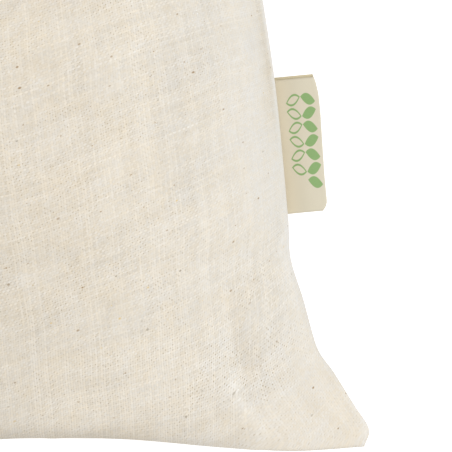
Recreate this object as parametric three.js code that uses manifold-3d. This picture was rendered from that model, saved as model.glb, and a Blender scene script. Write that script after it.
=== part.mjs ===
// A drawstring pouch of plain unbleached cotton, full, lying on its back with its mouth loosely drawn.
// Two cloth panels meet along the bottom and both sides. Each is turned in at the mouth to make a channel,
// a drawstring runs round in the channel and leaves it at one side, and a folded ribbon label is caught in
// the other side's seam. The pouch is hollow and open at its mouth.
// Millimetres: X runs across the pouch, +Y from its bottom to its mouth, +Z up from the surface it lies on.

import * as THREE from "three";
import { mergeVertices } from "three/addons/utils/BufferGeometryUtils.js";
import Module from "manifold-3d";

const wasm = await Module();
wasm.setup();

// Driving dimensions
const WALL = 1; // cloth, in one layer
const GAP = 0.3; // between pieces that meet
const FACETS_ACROSS = 38; // of one panel
const FACETS_ALONG = 2; // between two sections
const LENGTH = 189; // of the whole pouch, which the origin halves

const SLIT_HALF = 6; // of the opening that the side seams leave at the hem for the drawstring
const CHANNEL_HALF = 2.5; // from the middle of the hem's channel to the cloth on either side
const HEM_TURN_STEPS = 3; // facets round the folded rim
const HEM_FLAP_STEPS = 3; // facets down the turned-in flap

// The bottom edge's dip beside each corner: at and spread are shares of half its width, and reach is the
// number of sections that the dip takes to fade.
const DIP = { depth: 2.4, at: 0.75, spread: 0.55, reach: 2 };
const FOLD_FADE = 8; // how close to the seam the corner folds run out

const LABEL = { reach: 9.6, caught: 3, width: 33.4, layer: 1, slack: 0.4, along: 74.7, lean: 5.5 };

const CORD = { radius: 1.6, clear: 0.4, sides: 8, ringPlaces: 12, steps: 64, leavesAt: 9 };
const KNOT = { x: -45.4, z: 38.6, halfWidth: 5, halfDepth: 4.6, halfHeight: 4.8, around: 14, down: 8 };

const COTTON = new THREE.MeshStandardMaterial({ color: 0xe6dccb, roughness: 0.95, metalness: 0 });
const RIBBON = new THREE.MeshStandardMaterial({ color: 0xd8ccb2, roughness: 0.7, metalness: 0 });
const STRING = new THREE.MeshStandardMaterial({ color: 0xe9e1d0, roughness: 0.95, metalness: 0 });

// The pouch's sections, from the bottom edge to the rim. side and middle are how far along the pouch a
// section lies at its seams and at its middle, half is half its width, and seam, top and under are heights.
// front and back say how each panel leaves the seam, from 1 for a round side to 4 for a flat ear, and gather
// is how far the gathers have risen.
const SECTIONS = [
  { side: 2.2, middle: 4.2, half: 73.4, seam: 31, top: 31, under: 31, front: 4, back: 4, gather: 0 },
  { side: 6, middle: 4.8, half: 74.4, seam: 31.5, top: 40, under: 25, front: 4.6, back: 4, gather: 0 },
  { side: 11, middle: 7.6, half: 71, seam: 32.5, top: 48, under: 18, front: 4, back: 3.4, gather: 0 },
  { side: 19, middle: 13, half: 65.7, seam: 34, top: 57, under: 10, front: 3, back: 2.6, gather: 0 },
  { side: 27, middle: 22, half: 60.9, seam: 36, top: 66, under: 3, front: 2.1, back: 1.8, gather: 0 },
  { side: 37, middle: 33, half: 58.4, seam: 38, top: 73.5, under: -1, front: 1.5, back: 1.2, gather: 0 },
  { side: 47, middle: 45, half: 55.6, seam: 39.5, top: 79.5, under: -2.5, front: 1.25, back: 1, gather: 0 },
  { side: 58, middle: 57, half: 54.8, seam: 40.5, top: 83.5, under: -3, front: 1.1, back: 0.95, gather: 0 },
  { side: 88, middle: 86, half: 51.8, seam: 41, top: 86, under: -3.5, front: 1, back: 0.9, gather: 0 },
  { side: 112, middle: 109, half: 48.4, seam: 40.5, top: 84.5, under: -3, front: 1, back: 0.9, gather: 0 },
  { side: 136, middle: 131, half: 45, seam: 40, top: 81.5, under: -1, front: 1, back: 0.92, gather: 0.3 },
  { side: 154, middle: 148, half: 41.8, seam: 39.5, top: 78, under: 1.2, front: 1, back: 0.96, gather: 0.75 },
  { side: 168, middle: 162, half: 39.4, seam: 39, top: 75.5, under: 3, front: 1, back: 1, gather: 1 },
  { side: 186, middle: 179, half: 38.4, seam: 39, top: 74.4, under: 3.8, front: 1, back: 1, gather: 1 },
];
const RIM = SECTIONS.length - 1;
const HEM_SEAM = RIM - 1;

// The soft folds beside each bottom corner of the front panel: from and to are places in plan on the right
// half, spread is half a fold's width, and rise is a ridge's height or, below zero, a valley's depth.
const CORNER_FOLDS = [
  { from: [41, 38], to: [51, 17], spread: 8, rise: -2.6 },
  { from: [40, 17], to: [49, 4], spread: 5, rise: 1.6 },
  { from: [52, 44], to: [66, 12], spread: 7, rise: 1.1 },
];

// The gathers of each panel: at is a share of the panel's half width from its middle, and spread is half a
// gather's width in the same measure.
const GATHERS = [
  { at: -0.86, spread: 0.11, height: 2.2 },
  { at: -0.63, spread: 0.12, height: 3.1 },
  { at: -0.42, spread: 0.1, height: 2.5 },
  { at: -0.2, spread: 0.12, height: 3.3 },
  { at: 0.03, spread: 0.11, height: 2.7 },
  { at: 0.25, spread: 0.11, height: 3.2 },
  { at: 0.46, spread: 0.1, height: 2.4 },
  { at: 0.67, spread: 0.11, height: 3 },
  { at: 0.88, spread: 0.1, height: 2.1 },
];

// The two ends of the drawstring, from the channel out by the slit into the knot, and the tails beyond it,
// in x and z. aside is how far a tail leans along the pouch.
const CORD_ENDS = {
  front: [[-35.9, 43.7], [-38.7, 41.2], [-44, 40.2]],
  back: [[-35.9, 34.3], [-38.7, 36.8], [-44, 37]],
};
const TAILS = [
  { from: [-46, 39], to: [-53.6, 33], aside: 2.6 },
  { from: [-46, 38], to: [-51.4, 29.6], aside: -2.8 },
];

// A section between two rows of the table, by smooth curves through each column.
const COLUMN_NAMES = Object.keys(SECTIONS[0]);
const sectionSpline = new THREE.CubicInterpolant(
  SECTIONS.map((_, row) => row),
  SECTIONS.flatMap((section) => COLUMN_NAMES.map((name) => section[name])),
  COLUMN_NAMES.length,
);

function sectionAt(station) {
  const values = sectionSpline.evaluate(station);
  const section = Object.fromEntries(COLUMN_NAMES.map((name, column) => [name, values[column]]));
  section.dip = DIP.depth * THREE.MathUtils.clamp(1 - station / DIP.reach, 0, 1);
  section.slit = SLIT_HALF * THREE.MathUtils.clamp((station - HEM_SEAM) * FACETS_ALONG, 0, 1);
  return section;
}

// A hump that is 1 at offset 0 and falls smoothly to 0 at offset -1 and 1.
function hump(offset) {
  return Math.abs(offset) < 1 ? Math.cos((offset * Math.PI) / 2) ** 2 : 0;
}

function gatherHeight(share) {
  return GATHERS.reduce((sum, { at, spread, height }) => sum + height * hump((share - at) / spread), 0);
}

// How far the corner folds lift the front panel at a place in plan.
function cornerFoldHeight(x, y) {
  const place = new THREE.Vector3(Math.abs(x), y, 0);
  const nearest = new THREE.Vector3();
  return CORNER_FOLDS.reduce((sum, { from, to, spread, rise }) => {
    const line = new THREE.Line3(new THREE.Vector3(...from, 0), new THREE.Vector3(...to, 0));
    line.closestPointToPoint(place, true, nearest);
    return sum + rise * hump(nearest.distanceTo(place) / spread);
  }, 0);
}

// One panel's inner face across a section, from seam to seam. inset draws it in towards the pouch's middle,
// beyond moves it past the section, and turned is 1 where gathers stand out of the pouch and -1 where they
// stand into it.
class PanelCurve extends THREE.Curve {
  constructor(section, isFront, { inset = 0, beyond = 0, turned = 1, slit = section.slit } = {}) {
    super();
    Object.assign(this, { section, isFront, inset, beyond, turned, slit });
  }

  getPoint(along) {
    const { side, middle, half, seam, top, under, front, back, dip, gather } = this.section;
    const power = this.isFront ? front : back;
    const rise = Math.max(0, (this.isFront ? top - seam : seam - under) - WALL - this.inset);
    const start = rise > this.slit ? Math.asin((this.slit / rise) ** (1 / power)) : 0;
    const turn = THREE.MathUtils.lerp(Math.PI - start, start, this.isFront ? along : 1 - along);
    const lift = Math.max(Math.sin(turn), 0) ** power;
    const roundness = THREE.MathUtils.clamp(2 - power, 0, 1);
    const x = (half - WALL * roundness - this.inset) * Math.cos(turn);
    const outward = Math.abs(Math.cos(turn));
    const hollow = dip * hump((outward - DIP.at) / DIP.spread);
    const y = side + (middle - side) * (1 - outward ** 2) - hollow + this.beyond;
    const fold = this.isFront ? cornerFoldHeight(x, y) * (1 - outward ** FOLD_FADE) : 0;
    const height = Math.max(rise * lift + fold, GAP / 2);
    const point = new THREE.Vector3(x, y, seam + (this.isFront ? height : -height));

    const axis = new THREE.Vector3(0, y, (top + under) / 2);
    const standing = Math.max(gather, 0) * this.turned * gatherHeight(2 * along - 1);
    point.addScaledVector(point.clone().sub(axis).normalize(), standing);
    point.z = Math.max(point.z, WALL);
    return point;
  }
}

// The rows of a panel: up the body to the rim, round the folded rim, and down the turned-in flap to its seam.
function panelRows(isFront) {
  const rows = [];
  for (let step = 0; step <= RIM * FACETS_ALONG; step += 1) {
    rows.push(new PanelCurve(sectionAt(step / FACETS_ALONG), isFront));
  }
  const rim = sectionAt(RIM);
  for (let step = 1; step <= HEM_TURN_STEPS; step += 1) {
    const angle = (Math.PI * step) / HEM_TURN_STEPS;
    const inset = CHANNEL_HALF * (1 - Math.cos(angle));
    const beyond = CHANNEL_HALF * Math.sin(angle);
    rows.push(new PanelCurve(rim, isFront, { inset, beyond, turned: Math.cos(angle) }));
  }
  for (let step = 1; step <= HEM_FLAP_STEPS; step += 1) {
    const share = step / HEM_FLAP_STEPS;
    const sewn = step === HEM_FLAP_STEPS;
    const section = sectionAt(THREE.MathUtils.lerp(RIM, HEM_SEAM, share));
    const inset = sewn ? GAP : 2 * CHANNEL_HALF;
    rows.push(new PanelCurve(section, isFront, { inset, turned: sewn ? 1 : -1 }));
  }
  return rows.map((curve) => curve.getSpacedPoints(FACETS_ACROSS));
}

// A closed wall on the outer side of a sheet of points, which are rows of equal length.
function wallOn(rows) {
  const across = rows[0].length;
  const sheet = [];
  for (let row = 0; row + 1 < rows.length; row += 1) {
    for (let column = 0; column + 1 < across; column += 1) {
      const corner = row * across + column;
      sheet.push(corner, corner + 1, corner + across + 1, corner, corner + across + 1, corner + across);
    }
  }
  const inner = new THREE.BufferGeometry().setFromPoints(rows.flat()).setIndex(sheet);
  inner.computeVertexNormals();
  const normal = new THREE.Vector3();
  const outerPoints = rows.flat().map((point, index) => {
    normal.fromBufferAttribute(inner.getAttribute("normal"), index);
    return point.clone().addScaledVector(normal, WALL);
  });

  const count = rows.length * across;
  const lastRow = count - across;
  const bottomEdge = rows[0].map((_, column) => column);
  const rightEdge = rows.map((_, row) => row * across + across - 1);
  const topEdge = rows[0].map((_, column) => lastRow + across - 1 - column);
  const leftEdge = rows.map((_, row) => (rows.length - 1 - row) * across);
  const border = [bottomEdge, rightEdge, topEdge, leftEdge].flatMap((edge) => edge.slice(0, -1));

  const faces = [];
  for (let corner = 0; corner < sheet.length; corner += 3) {
    const [a, b, c] = sheet.slice(corner, corner + 3);
    faces.push(c, b, a, a + count, b + count, c + count);
  }
  border.forEach((a, place) => {
    const b = border[(place + 1) % border.length];
    faces.push(b + count, a + count, a, b + count, a, b);
  });
  return new THREE.BufferGeometry().setFromPoints([...rows.flat(), ...outerPoints]).setIndex(faces);
}

// Joins and cuts
function solidOf(geometry) {
  const bare = new THREE.BufferGeometry()
    .setAttribute("position", geometry.getAttribute("position"))
    .setIndex(geometry.index);
  const merged = mergeVertices(bare);
  return new wasm.Manifold(
    new wasm.Mesh({
      numProp: 3,
      vertProperties: merged.getAttribute("position").array,
      triVerts: new Uint32Array(merged.index.array),
    }),
  );
}

function geometryOf(solid) {
  const { vertProperties, triVerts } = solid.getMesh();
  const geometry = new THREE.BufferGeometry();
  geometry.setAttribute("position", new THREE.BufferAttribute(vertProperties, 3));
  geometry.setIndex(new THREE.BufferAttribute(triVerts, 1));
  geometry.computeVertexNormals();
  return geometry;
}

function pieceOf(name, geometry, material) {
  const mesh = new THREE.Mesh(geometry, material);
  mesh.name = name;
  return mesh;
}

// Where the label leaves the right seam: along X out of the seam, along Y up through the label.
function labelPlace() {
  const low = SECTIONS.findLastIndex(({ side }) => side <= LABEL.along);
  const share = (LABEL.along - SECTIONS[low].side) / (SECTIONS[low + 1].side - SECTIONS[low].side);
  const { half, seam } = sectionAt(low + share);
  const out = THREE.MathUtils.degToRad(LABEL.lean);
  return new THREE.Matrix4()
    .makeTranslation(half, LABEL.along, seam)
    .multiply(new THREE.Matrix4().makeRotationZ(out))
    .multiply(new THREE.Matrix4().makeRotationX(Math.PI / 2));
}

// The ribbon folded once, so that its two layers leave the seam and join in a round fold.
function labelGeometry() {
  const { reach, caught, width, layer, slack } = LABEL;
  const outer = layer + slack / 2;
  const bend = reach - outer;
  const shape = new THREE.Shape();
  shape.moveTo(-caught, -outer);
  shape.absarc(bend, 0, outer, -Math.PI / 2, Math.PI / 2, false);
  shape.lineTo(-caught, outer);
  shape.lineTo(-caught, slack / 2);
  shape.absarc(bend, 0, slack / 2, Math.PI / 2, -Math.PI / 2, true);
  shape.lineTo(-caught, -slack / 2);
  shape.closePath();
  const ribbon = new THREE.ExtrudeGeometry(shape, { depth: width, bevelEnabled: false, curveSegments: 6 });
  return ribbon.translate(0, 0, -width / 2).applyMatrix4(labelPlace());
}

// The room that the two panels leave for the label in the seam.
function labelSlot() {
  const { caught, width, layer, slack } = LABEL;
  const thickness = 2 * layer + slack + 2 * GAP;
  const room = new THREE.BoxGeometry(2 * (caught + GAP), thickness, width + 2 * GAP);
  return solidOf(room.applyMatrix4(labelPlace()));
}

// A round cord along smooth points, with flat ends.
function cordAlong(points, steps) {
  const { radius, sides } = CORD;
  const section = new THREE.Shape(new THREE.EllipseCurve(0, 0, radius, radius).getPoints(sides).slice(0, -1));
  const extrudePath = new THREE.CatmullRomCurve3(points, false, "centripetal");
  return solidOf(new THREE.ExtrudeGeometry(section, { steps, bevelEnabled: false, extrudePath }));
}

// The drawstring lies against the channel's inner wall, and both its ends run into one knot at the slit.
function drawstringGeometry() {
  const hem = sectionAt((RIM + HEM_SEAM) / 2);
  const inset = 2 * CHANNEL_HALF - CORD.radius - CORD.clear;
  const ringOf = (isFront) =>
    new PanelCurve(hem, isFront, { inset, turned: 0, slit: CORD.leavesAt }).getSpacedPoints(CORD.ringPlaces);
  const pointAt = ([x, z], aside = 0) => new THREE.Vector3(x, hem.side + aside, z);
  const frontEnd = CORD_ENDS.front.map((place) => pointAt(place)).reverse();
  const backEnd = CORD_ENDS.back.map((place) => pointAt(place));
  const cord = cordAlong([...frontEnd, ...ringOf(true), ...ringOf(false), ...backEnd], CORD.steps);
  const { x, z, halfWidth, halfDepth, halfHeight, around, down } = KNOT;
  const knot = new THREE.SphereGeometry(1, around, down)
    .rotateX(Math.PI / 2)
    .scale(halfWidth, halfDepth, halfHeight)
    .translate(x, hem.side, z);
  const tails = TAILS.map(({ from, to, aside }) => cordAlong([pointAt(from), pointAt(to, aside)], 1));
  return geometryOf([solidOf(knot), ...tails].reduce((joined, piece) => joined.add(piece), cord));
}

// The pouch, set so that its box's middle is over the origin.
const slot = labelSlot();
const pouch = new THREE.Group();
pouch.position.y = -LENGTH / 2;
pouch.add(
  pieceOf("front_panel", geometryOf(solidOf(wallOn(panelRows(true))).subtract(slot)), COTTON),
  pieceOf("back_panel", geometryOf(solidOf(wallOn(panelRows(false))).subtract(slot)), COTTON),
  pieceOf("side_label", labelGeometry(), RIBBON),
  pieceOf("drawstring", drawstringGeometry(), STRING),
);

const model = new THREE.Group();
model.add(pouch);

export default model;
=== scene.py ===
"""A full pouch of plain unbleached cotton that lies on its back, dressed on the part's own frame."""
import math

import bpy
import numpy as np
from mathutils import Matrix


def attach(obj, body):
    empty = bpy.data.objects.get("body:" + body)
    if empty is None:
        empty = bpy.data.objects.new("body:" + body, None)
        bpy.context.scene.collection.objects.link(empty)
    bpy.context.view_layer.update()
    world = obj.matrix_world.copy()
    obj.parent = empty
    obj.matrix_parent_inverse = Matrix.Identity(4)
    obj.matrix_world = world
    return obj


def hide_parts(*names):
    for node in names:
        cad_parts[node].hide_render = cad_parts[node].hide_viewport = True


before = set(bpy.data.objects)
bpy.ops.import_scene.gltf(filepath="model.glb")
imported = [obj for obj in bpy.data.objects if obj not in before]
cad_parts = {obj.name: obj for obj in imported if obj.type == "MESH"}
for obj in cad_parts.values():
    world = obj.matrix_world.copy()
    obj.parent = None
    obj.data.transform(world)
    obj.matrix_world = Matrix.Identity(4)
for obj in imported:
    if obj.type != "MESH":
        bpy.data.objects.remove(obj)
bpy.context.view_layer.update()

MM = 0.001
TINY = 1e-9
BODY = "root"

# The camera looks straight down at the front panel's right bottom corner.
CAMERA_OVER = (39.96, -39.62)
CAMERA_DISTANCE = 1600.0
PICTURE_PLANE = 33.0
PICTURE_WIDTH = 110.74

scene = bpy.context.scene
camera_data = bpy.data.cameras.new("camera")
camera_data.lens = camera_data.sensor_width * CAMERA_DISTANCE / PICTURE_WIDTH
camera = bpy.data.objects.new("camera", camera_data)
camera.location = (CAMERA_OVER[0] * MM, CAMERA_OVER[1] * MM, (PICTURE_PLANE + CAMERA_DISTANCE) * MM)
scene.collection.objects.link(camera)
scene.camera = camera

# The pouch in millimetres, measured along Y from its bottom edge
LENGTH = 189.0
WALL = 1.0
CLOTH = 0.5
THINNEST_CLOTH = 0.06
OUTER_CLEARANCE = 0.05
INNER_CLEARANCE = 0.3
SEAM_GAP = 0.02
SEAM_ROUNDING = 1.3
COLUMNS = 161
DENSE_COLUMNS = 700
ROW_SPACING = 1.1
FLAT_WIDTH = 150.0
SLIT_HALF = 6.0
SLIT_OPENING = 0.8
CHANNEL_HALF = 2.5
TURN_ROWS = 12
FLAP_ROWS = 16
FLAP_GAP = 0.8
FLAP_SEWN_FROM = 0.6
DIP = {"depth": 2.9, "at": 0.71, "inner": 0.62, "outer": 0.455, "reach": 2.0}
FOLD_FADE = 8
FRONT_SEED = 11
BACK_SEED = 23

SECTION_COLUMNS = ("side", "middle", "half", "seam", "top", "under", "front", "back", "gather")
SECTIONS = np.array((
    (1.6, 3.7, 73.9, 31, 31, 31, 4, 4, 0),
    (5.6, 4.5, 75, 31.5, 40, 25, 4.6, 4, 0),
    (11, 7.4, 71.4, 32.5, 48, 18, 4, 3.4, 0),
    (19, 13, 66.4, 34, 57, 10, 3, 2.6, 0),
    (25.4, 21, 62.1, 35.7, 65, 3.8, 2.25, 1.9, 0),
    (37, 33, 58.6, 38, 73.5, -1, 1.5, 1.2, 0),
    (47, 45, 55.6, 39.5, 79.5, -2.5, 1.25, 1, 0),
    (58, 57, 55, 40.5, 83.5, -3, 1.1, 0.95, 0),
    (88, 86, 52.15, 41, 86, -3.5, 1, 0.9, 0),
    (112, 109, 48.65, 40.5, 84.5, -3, 1, 0.9, 0),
    (136, 131, 45.1, 40, 81.5, -1, 1, 0.92, 0.3),
    (154, 148, 41.8, 39.5, 78, 1.2, 1, 0.96, 0.75),
    (168, 162, 39.4, 39, 75.5, 3, 1, 1, 1),
    (186, 179, 38.4, 39, 74.4, 3.8, 1, 1, 1),
))
RIM = len(SECTIONS) - 1
HEM_SEAM = RIM - 1

# Folds beside each bottom corner: from x, from y, to x, to y, spread inwards, spread outwards, first rise,
# last rise
CREASE = (40.6, 17.5, 47.3, 5.2, 8, 2.1, 1.0, 1.7)
CORNER_FOLDS = (
    (38.5, 39, 43, 21, 7, 7, -0.9, -3.2),
    CREASE,
    (52, 44, 66, 12, 7, 7, 1.1, 1.1),
)
# The crease as a mark on the cloth, along which a highlight is painted and the weave is closer: the same
# course, 1 high all along it
CREASE_MARK = (*CREASE[:-2], 1, 1)
CREASE_NARROWING = 3
CREASE_FADE = (12, 19)
CREASE_END = (4, 8)
# Gathers of each panel: at, spread, height
GATHERS = (
    (-0.87, 0.1, 1.7),
    (-0.67, 0.14, 3.3),
    (-0.44, 0.12, 1.9),
    (-0.24, 0.12, 3.4),
    (-0.05, 0.1, 1.8),
    (0.18, 0.16, 3.3),
    (0.47, 0.12, 2),
    (0.69, 0.14, 3.4),
    (0.88, 0.09, 1.6),
)

# Waves in the cloth: how many, the shortest length, the longest length
BROAD_WAVES = (14, 22, 48)
PUCKER_WAVES = (10, 5, 11)
# How high the cloth stands off its even form
BROAD_RELIEF = {"height": 0.16, "fade": (0, 14)}
SEAM_PUCKER = {"height": 0.1, "reach": 6, "fade": (1, 5)}
HEM_GROOVE = {"depth": 0.3, "reach": 1.3}
HEM_PUCKER = {"height": 0.22, "reach": 6, "closeness": 1.5}
HEM_GATHER = {"height": 0.3, "reach": 16, "closeness": 0.25, "fade": (3, 9)}

LABEL = {"caught": 3.0, "width": 32.7, "layer": 0.25, "slack": 0.3, "along": 74.1, "lean": 5.5, "shift": 0.7}
LABEL_STEPS = {"along": 61, "flat": 26, "turn": 8}
LABEL_BULGE = {"height": 0.45, "even": 0.6, "uneven": 0.4, "length": 5.0, "back": 0.3}
LABEL_CURL = {"depth": 0.5, "fade": (4, 11)}
LABEL_WINDOW_FADE = (-0.5, 2)
# How far the label reaches out of the seam: along, reach
LABEL_REACH = np.array((
    (0, 8.4),
    (0.6, 9.15),
    (1.4, 9.5),
    (8, 9.5),
    (18, 9.8),
    (24, 10),
    (28, 9.95),
    (31, 9.55),
    (32.7, 9.05),
))
LABEL_REACH_SMOOTHINGS = 2

CORD = {"radius": 1.55, "lay": 7.0, "around": 24, "step": 0.6, "inset": 3.0, "leaves_at": 9.0}
STRANDS = {"count": 3, "groove": 0.22, "roundness": 0.7}
CORD_END = {"narrowing": 0.45, "length": 1.2}
RING_SAMPLES = 400
RING_PLACES = 19
PATH_SAMPLES = 40
NEARLY_PARALLEL = 0.1
KNOT = {"x": -45.4, "z": 38.6, "wraps": 2, "wrap_steps": 12, "wrap_radius": 2.95, "half_length": 3.1}
# Places of the cord outside the hem: x, how far beyond the channel's level, z
FIRST_TAIL = ((-53.4, 2.6, 32.6), (-51.4, 1.9, 35.6), (-49.2, 0.8, 37.8))
INTO_FRONT = ((KNOT["x"], 0, KNOT["z"]), (-41.6, 0, 39.5), (-38.7, 0, 41.2), (-35.9, 0, 43.7))
OUT_OF_BACK = ((-35.9, 0, 34.3), (-38.4, 0, 35.6))
LAST_TAIL = ((-49.9, -0.4, 33.8), (-51.0, -1.8, 31.8), (-51.6, -2.8, 29.6))

STITCH = {"length": 2.1, "gap": 0.8, "radius": 0.2, "height": 0.16, "start": 1.5, "sides": 6, "places": 7}

# The weave's direction: off the straight by skew at the middle, slanting with the ears beside each corner
WEAVE = {"skew": 0.397, "skew_reach": 24.3, "lean": 0.12, "lean_from": 30.0, "ease": 0.65}
WEAVE_START = {"across": 50, "along": 60}
# Below this height the warp runs straight down, apart from the ears
STRAIGHT = {"height": 34.0, "inner": 40.0, "outer": 56.0}
EAR_WEAVE = {"angle": 44.5, "start": 26.4, "inner": -15.0, "outer": 73.7, "slope": 0.245, "fade": (42, 133)}


def smooth(low, high, value):
    """0 up to low and 1 from high, with a soft step between them."""
    share = np.clip((value - low) / (high - low), 0, 1)
    return share * share * (3 - 2 * share)


def hump(offset):
    """1 at offset 0, falling smoothly to 0 at offset -1 and 1."""
    return np.where(np.abs(offset) < 1, np.cos(offset * np.pi / 2) ** 2, 0)


def spline(values, places):
    """Smooth curves through equally spaced rows of values, straight at both ends."""
    last = len(values) - 1
    low = np.clip(np.floor(places).astype(int), 0, last - 1)
    share = places - low
    first = low == 0
    final = low == last - 1
    before = np.where(first, low + 1, low - 1)
    after = np.where(final, low, np.minimum(low + 2, last))
    pull_before = np.where(first, -0.5, 0.5)
    pull_after = np.where(final, -0.5, 0.5)
    square = share**2
    cube = share**3
    weights = (
        -pull_before * cube + 2 * pull_before * square - pull_before * share,
        (1 + pull_before) * cube + (-1.5 - 2 * pull_before) * square + (pull_before - 0.5) * share + 1,
        (-1 - pull_after) * cube + (1.5 + pull_after) * square + 0.5 * share,
        pull_after * cube - pull_after * square,
    )
    rows = (before, low, low + 1, after)
    return sum(weight[:, None] * values[row] for weight, row in zip(weights, rows))


def sections_at(stations):
    """Each column of the sections at these stations, as upright arrays."""
    values = spline(SECTIONS, stations)
    section = {name: values[:, [column]] for column, name in enumerate(SECTION_COLUMNS)}
    upright = stations[:, None]
    section["dip"] = DIP["depth"] * np.clip(1 - upright / DIP["reach"], 0, 1)
    section["slit"] = SLIT_HALF * smooth(0, SLIT_OPENING, upright - HEM_SEAM)
    return section


def gather_height(share):
    """How far the gathers stand out at a share of the panel's half width from its middle."""
    return sum(height * hump((share - at) / spread) for at, spread, height in GATHERS)


def corner_fold_height(x, y, folds=CORNER_FOLDS):
    """How far the folds beside both bottom corners stand out of the front panel."""
    total = np.zeros_like(x)
    for from_x, from_y, to_x, to_y, inwards, outwards, first_rise, last_rise in folds:
        run_x = to_x - from_x
        run_y = to_y - from_y
        length = math.hypot(run_x, run_y)
        share = ((np.abs(x) - from_x) * run_x + (y - from_y) * run_y) / length**2
        share = np.clip(share, 0, 1)
        off_x = np.abs(x) - from_x - share * run_x
        off_y = y - from_y - share * run_y
        away = np.maximum(np.hypot(off_x, off_y), TINY)
        outer = 0.5 + 0.5 * (run_x * off_y - run_y * off_x) / (length * away)
        rise = first_rise + (last_rise - first_rise) * share
        total = total + rise * hump(away / (inwards + (outwards - inwards) * outer))
    return total


def label_window(y):
    """1 along the stretch of the right seam that holds the label, 0 away from it."""
    away = np.abs(y - LABEL["along"]) - LABEL["width"] / 2
    return 1 - smooth(*LABEL_WINDOW_FADE, away)


def panel_points(section, is_front, along, inset, beyond, turned, slit):
    """Places on a panel's inner face, a row for each section and a column for each share along it."""
    power = section["front" if is_front else "back"]
    depth = section["top"] - section["seam"] if is_front else section["seam"] - section["under"]
    rise = np.maximum(0, depth - WALL - inset)
    ratio = np.where(rise > slit, slit / np.maximum(rise, TINY), 0)
    start = np.arcsin(ratio ** (1 / power))
    share = along if is_front else 1 - along
    turn = (np.pi - start) * (1 - share) + start * share
    lift = np.maximum(np.sin(turn), 0) ** power
    roundness = np.clip(2 - power, 0, 1)
    x = (section["half"] - WALL * roundness - inset) * np.cos(turn)
    outward = np.abs(np.cos(turn))
    spread = np.where(outward > DIP["at"], DIP["outer"], DIP["inner"])
    hollow = section["dip"] * hump((outward - DIP["at"]) / spread)
    y = section["side"] + (section["middle"] - section["side"]) * (1 - outward**2) - hollow + beyond
    gap = SEAM_GAP + (LABEL["layer"] + LABEL["slack"] / 2) * label_window(y) * (x > 0)
    fold = corner_fold_height(x, y) * (1 - outward**FOLD_FADE) if is_front else 0
    height = np.maximum(rise * lift + fold, gap)
    z = section["seam"] + (height if is_front else -height)
    points = np.stack(np.broadcast_arrays(x, y, z), axis=-1)
    axis_z = np.broadcast_to((section["top"] + section["under"]) / 2, x.shape)
    axis = np.stack((np.zeros_like(x), np.broadcast_to(y, x.shape), axis_z), axis=-1)
    away = points - axis
    away = away / np.linalg.norm(away, axis=-1, keepdims=True)
    standing = np.maximum(section["gather"], 0) * turned * gather_height(2 * along - 1)
    points = points + away * standing[..., None]
    points[..., 2] = np.maximum(points[..., 2], WALL)
    return points


def row_lengths(points):
    """How far along its row each point lies."""
    steps = np.linalg.norm(np.diff(points, axis=1), axis=-1)
    return np.concatenate((np.zeros((len(points), 1)), np.cumsum(steps, axis=1)), axis=1)


def between(line, lengths, places):
    """The values of a line at these places along it."""
    return np.stack([np.interp(places, lengths, line[:, axis]) for axis in range(3)], axis=-1)


def spaced(points, count):
    """Each row drawn again with equally spaced places along it."""
    rows = []
    for row, lengths in zip(points, row_lengths(points)):
        rows.append(between(row, lengths, np.linspace(0, lengths[-1], count)))
    return np.array(rows)


def panel_rows():
    """Station, inset, beyond and turned of each row: up the body, round the rim, down the turned-in flap."""
    middle = SECTIONS[:, [SECTION_COLUMNS.index("middle"), SECTION_COLUMNS.index("top")]]
    rows = []
    for low in range(RIM):
        count = math.ceil(np.linalg.norm(middle[low + 1] - middle[low]) / ROW_SPACING)
        rows.extend((low + step / count, 0, 0, 1) for step in range(count))
    rows.append((RIM, 0, 0, 1))
    for step in range(1, TURN_ROWS + 1):
        angle = math.pi * step / TURN_ROWS
        inset = CHANNEL_HALF * (1 - math.cos(angle))
        rows.append((RIM, inset, CHANNEL_HALF * math.sin(angle), math.cos(angle)))
    for step in range(1, FLAP_ROWS + 1):
        share = step / FLAP_ROWS
        sewn = float(smooth(FLAP_SEWN_FROM, 1, share))
        inset = 2 * CHANNEL_HALF * (1 - sewn) + FLAP_GAP * sewn
        rows.append((RIM - share, inset, 0, 2 * sewn - 1))
    return np.array(rows)


def normals_of(points):
    """The outward direction at each point of a grid."""
    across = np.gradient(points, axis=1)
    along = np.gradient(points, axis=0)
    normal = np.cross(across, along)
    return normal / np.maximum(np.linalg.norm(normal, axis=-1, keepdims=True), TINY)


def ripples(random, count, shortest, longest):
    """A smooth irregular field over a plane, about 1 high, made of waves between two lengths."""
    lengths = random.uniform(shortest, longest, count)
    angles = random.uniform(0, 2 * np.pi, count)
    phases = random.uniform(0, 2 * np.pi, count)

    def field(first, second):
        total = 0
        for length, angle, phase in zip(lengths, angles, phases):
            place = first * math.cos(angle) + second * math.sin(angle)
            total = total + np.sin(2 * np.pi * place / length + phase)
        return total / math.sqrt(count / 2)

    return field


def grid_faces(rows, columns, offset=0):
    """Quads of a grid of points, which runs by rows."""
    corner = (np.arange(rows - 1)[:, None] * columns + np.arange(columns - 1)[None, :]).ravel() + offset
    return np.stack((corner, corner + 1, corner + columns + 1, corner + columns), axis=-1)


def sheet_faces(rows, columns):
    """Quads of a closed sheet: an outer grid, an inner grid and the rim between them."""
    count = rows * columns
    outer = grid_faces(rows, columns)
    inner = grid_faces(rows, columns, count)[:, ::-1]
    bottom = np.arange(columns)
    right = np.arange(rows) * columns + columns - 1
    top = count - 1 - np.arange(columns)
    left = (rows - 1 - np.arange(rows)) * columns
    border = np.concatenate([edge[:-1] for edge in (bottom, right, top, left)])
    following = np.roll(border, -1)
    rim = np.stack((following, border, border + count, following + count), axis=-1)
    return np.concatenate((outer, inner, rim))


def sheet_points(outer, inner):
    """Both faces of a sheet as one list of points or of values."""
    return np.concatenate((outer.reshape(-1, 3), inner.reshape(-1, 3)))


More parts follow.
